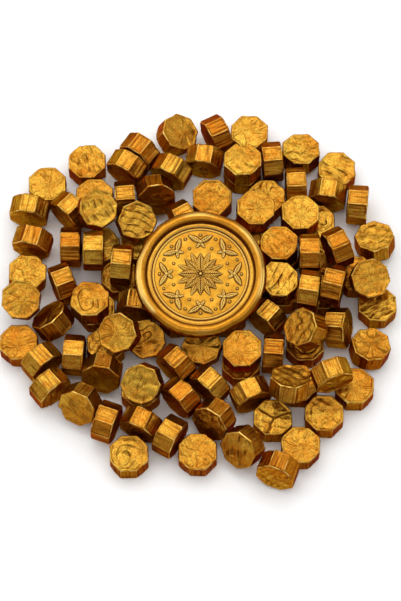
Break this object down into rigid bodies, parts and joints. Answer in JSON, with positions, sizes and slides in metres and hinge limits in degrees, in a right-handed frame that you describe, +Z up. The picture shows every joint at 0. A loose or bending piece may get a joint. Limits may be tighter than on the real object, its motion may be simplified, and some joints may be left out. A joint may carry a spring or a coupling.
{
  "type": "sealing wax beads with wax seal",
  "caption": "Heap of loose octagonal gold sealing wax beads, ready to melt, with a finished round wax seal that has a raised flower and wreath lying on top.",
  "frame": {"origin": "on the table, under the middle of the heap's outline", "axes": "+Z up from the table, +Y away from the viewer of the seal, +X to the viewer's right"},
  "size_m": [0.0912, 0.0936, 0.0156],
  "materials": {
    "bead_wax": "pearl gold wax with flow lines, satin",
    "seal_wax": "pearl gold wax, smooth and glossy where pressed"
  },
  "bodies": {
    "heap": {"top_bead_01": "bead_wax", "top_bead_10": "bead_wax", "top_bead_13": "bead_wax", "top_bead_24": "bead_wax", "top_bead_25": "bead_wax", "top_bead_26": "bead_wax", "table_beads_01": "bead_wax", "table_beads_02": "bead_wax", "table_beads_03": "bead_wax", "table_beads_04": "bead_wax", "table_beads_05": "bead_wax", "table_beads_06": "bead_wax", "table_beads_07": "bead_wax", "table_beads_08": "bead_wax", "table_beads_09": "bead_wax", "table_beads_10": "bead_wax", "table_beads_11": "bead_wax", "table_beads_12": "bead_wax", "table_beads_13": "bead_wax", "table_beads_14": "bead_wax", "table_beads_15": "bead_wax", "table_beads_16": "bead_wax", "table_beads_17": "bead_wax", "table_beads_18": "bead_wax", "table_beads_19": "bead_wax", "hidden_beads_01": "bead_wax", "hidden_beads_02": "bead_wax", "hidden_beads_03": "bead_wax", "hidden_beads_04": "bead_wax", "hidden_beads_05": "bead_wax", "hidden_beads_06": "bead_wax", "hidden_beads_07": "bead_wax", "hidden_beads_08": "bead_wax", "hidden_beads_09": "bead_wax"},
    "seal": {"seal": "seal_wax"},
    "top_bead_02": {"top_bead_02": "bead_wax"},
    "top_bead_03": {"top_bead_03": "bead_wax"},
    "top_bead_04": {"top_bead_04": "bead_wax"},
    "top_bead_05": {"top_bead_05": "bead_wax"},
    "top_bead_06": {"top_bead_06": "bead_wax"},
    "top_bead_07": {"top_bead_07": "bead_wax"},
    "top_bead_08": {"top_bead_08": "bead_wax"},
    "top_bead_09": {"top_bead_09": "bead_wax"},
    "top_bead_11": {"top_bead_11": "bead_wax"},
    "top_bead_12": {"top_bead_12": "bead_wax"},
    "top_bead_14": {"top_bead_14": "bead_wax"},
    "top_bead_15": {"top_bead_15": "bead_wax"},
    "top_bead_16": {"top_bead_16": "bead_wax"},
    "top_bead_17": {"top_bead_17": "bead_wax"},
    "top_bead_18": {"top_bead_18": "bead_wax"},
    "top_bead_19": {"top_bead_19": "bead_wax"},
    "top_bead_20": {"top_bead_20": "bead_wax"},
    "top_bead_21": {"top_bead_21": "bead_wax"},
    "top_bead_22": {"top_bead_22": "bead_wax"},
    "top_bead_23": {"top_bead_23": "bead_wax"}
  },
  "joints": [
    {"name": "seal_lift", "type": "slide", "parent": "heap", "child": "seal", "axis": [0, 0, 1], "range_m": [0, 0.03]},
    {"name": "top_bead_02_lift", "type": "slide", "parent": "heap", "child": "top_bead_02", "axis": [0, 0, 1], "range_m": [0, 0.025]},
    {"name": "top_bead_03_lift", "type": "slide", "parent": "heap", "child": "top_bead_03", "axis": [0, 0, 1], "range_m": [0, 0.025]},
    {"name": "top_bead_04_lift", "type": "slide", "parent": "heap", "child": "top_bead_04", "axis": [0, 0, 1], "range_m": [0, 0.025]},
    {"name": "top_bead_05_lift", "type": "slide", "parent": "heap", "child": "top_bead_05", "axis": [0, 0, 1], "range_m": [0, 0.025]},
    {"name": "top_bead_06_lift", "type": "slide", "parent": "heap", "child": "top_bead_06", "axis": [0, 0, 1], "range_m": [0, 0.025]},
    {"name": "top_bead_07_lift", "type": "slide", "parent": "heap", "child": "top_bead_07", "axis": [0, 0, 1], "range_m": [0, 0.025]},
    {"name": "top_bead_08_lift", "type": "slide", "parent": "heap", "child": "top_bead_08", "axis": [0, 0, 1], "range_m": [0, 0.025]},
    {"name": "top_bead_09_lift", "type": "slide", "parent": "heap", "child": "top_bead_09", "axis": [0, 0, 1], "range_m": [0, 0.025]},
    {"name": "top_bead_11_lift", "type": "slide", "parent": "heap", "child": "top_bead_11", "axis": [0, 0, 1], "range_m": [0, 0.025]},
    {"name": "top_bead_12_lift", "type": "slide", "parent": "heap", "child": "top_bead_12", "axis": [0, 0, 1], "range_m": [0, 0.025]},
    {"name": "top_bead_14_lift", "type": "slide", "parent": "heap", "child": "top_bead_14", "axis": [0, 0, 1], "range_m": [0, 0.025]},
    {"name": "top_bead_15_lift", "type": "slide", "parent": "heap", "child": "top_bead_15", "axis": [0, 0, 1], "range_m": [0, 0.025]},
    {"name": "top_bead_16_lift", "type": "slide", "parent": "heap", "child": "top_bead_16", "axis": [0, 0, 1], "range_m": [0, 0.025]},
    {"name": "top_bead_17_lift", "type": "slide", "parent": "heap", "child": "top_bead_17", "axis": [0, 0, 1], "range_m": [0, 0.025]},
    {"name": "top_bead_18_lift", "type": "slide", "parent": "heap", "child": "top_bead_18", "axis": [0, 0, 1], "range_m": [0, 0.025]},
    {"name": "top_bead_19_lift", "type": "slide", "parent": "heap", "child": "top_bead_19", "axis": [0, 0, 1], "range_m": [0, 0.025]},
    {"name": "top_bead_20_lift", "type": "slide", "parent": "heap", "child": "top_bead_20", "axis": [0, 0, 1], "range_m": [0, 0.025]},
    {"name": "top_bead_21_lift", "type": "slide", "parent": "heap", "child": "top_bead_21", "axis": [0, 0, 1], "range_m": [0, 0.025]},
    {"name": "top_bead_22_lift", "type": "slide", "parent": "heap", "child": "top_bead_22", "axis": [0, 0, 1], "range_m": [0, 0.025]},
    {"name": "top_bead_23_lift", "type": "slide", "parent": "heap", "child": "top_bead_23", "axis": [0, 0, 1], "range_m": [0, 0.025]}
  ]
}
